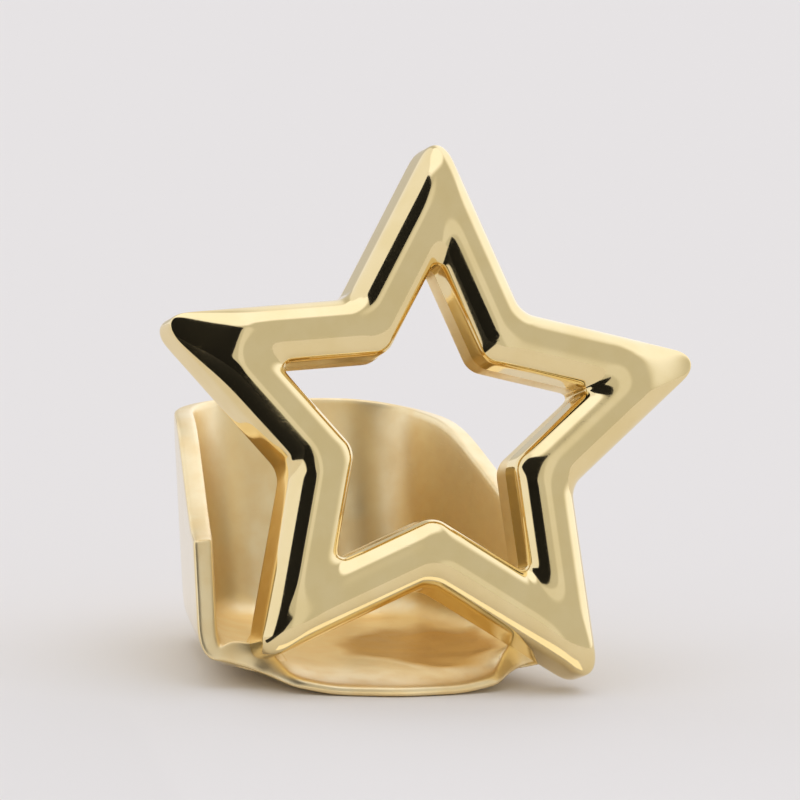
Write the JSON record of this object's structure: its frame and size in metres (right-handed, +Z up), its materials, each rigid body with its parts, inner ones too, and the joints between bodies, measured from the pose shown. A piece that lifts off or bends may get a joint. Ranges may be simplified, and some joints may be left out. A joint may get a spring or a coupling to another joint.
{
  "type": "grillz tooth cover",
  "caption": "Open star frame with rounded limbs, soldered to a small open-fronted shell that hooks over a tooth, in polished gold plating.",
  "frame": {"origin": "on the surface that the part rests on, under the middle of the shell's floor", "axes": "+Z up off the resting floor, +X across the star to the viewer's right, -Y out of the star's face; the star and the shell's front lean back 19 degrees from +Z"},
  "size_m": [0.0101, 0.0077, 0.0095],
  "materials": {
    "gold_plate": "polished"
  },
  "bodies": {
    "root": {"star_tooth_cover": "gold_plate"}
  },
  "joints": []
}
